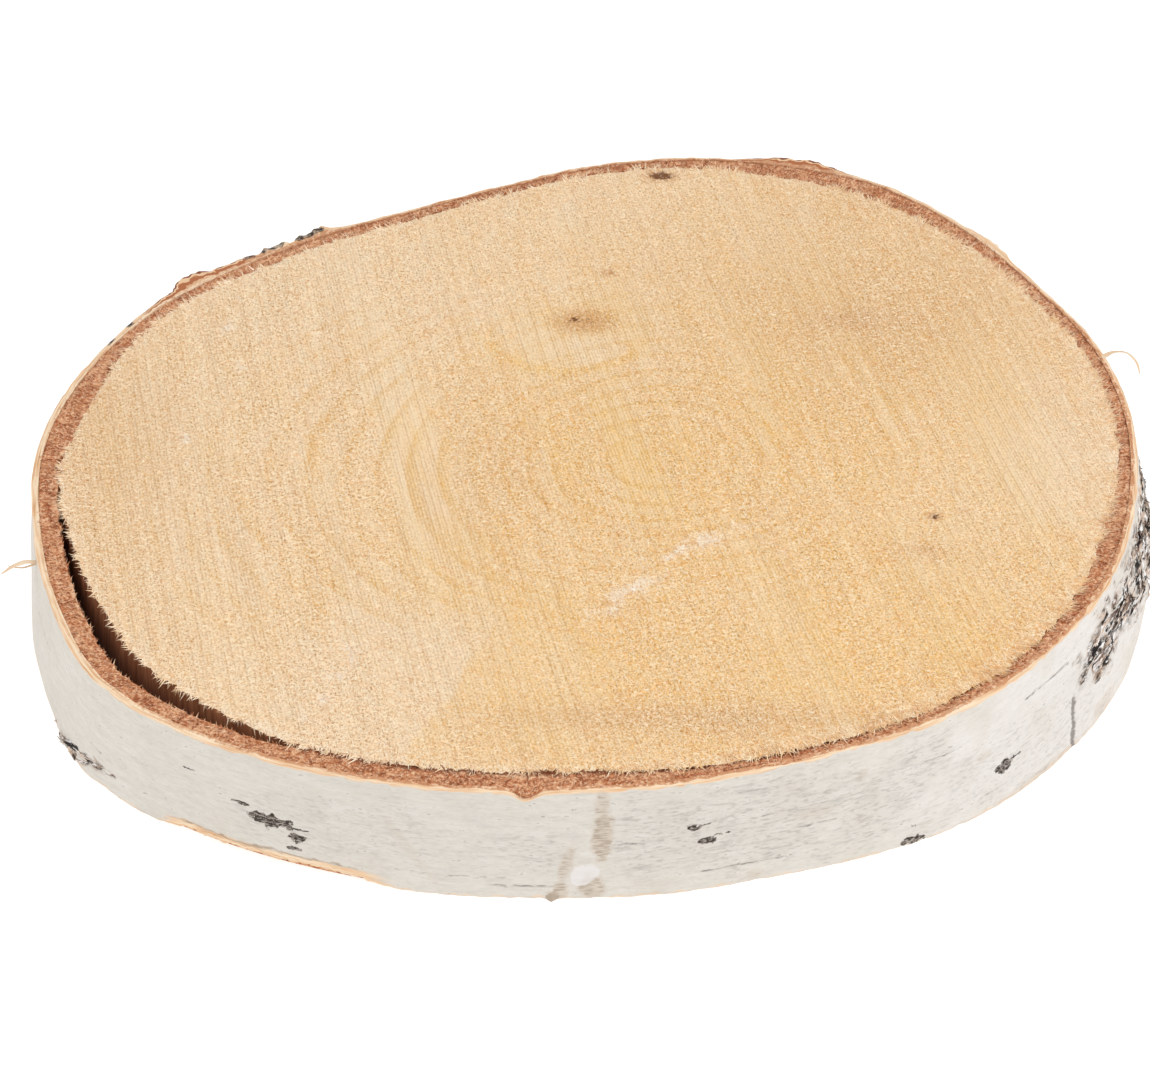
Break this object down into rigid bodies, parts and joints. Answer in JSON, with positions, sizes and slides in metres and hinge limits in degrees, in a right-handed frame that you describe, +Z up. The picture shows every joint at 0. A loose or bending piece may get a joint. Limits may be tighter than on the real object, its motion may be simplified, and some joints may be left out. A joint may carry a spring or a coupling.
{
  "type": "birch wood slice",
  "caption": "Rounded disc sawn across a birch trunk, with cream end-grain faces and white bark on a brown inner bark that has come away from the wood at one side; a base or display slice.",
  "frame": {"origin": "on the underside, below the middle of the slice's outline", "axes": "+Z up, out of the upper sawn face; -Y towards the front, where the white bark shows; +X to the right"},
  "size_m": [0.2252, 0.2214, 0.025],
  "materials": {
    "wood": "sawn end grain, dry and matt",
    "inner_bark": "fibrous, dry and matt",
    "outer_bark": "papery white cork, matt"
  },
  "bodies": {
    "root": {"wood_disc": "wood", "inner_bark": "inner_bark", "outer_bark": "outer_bark"}
  },
  "joints": []
}
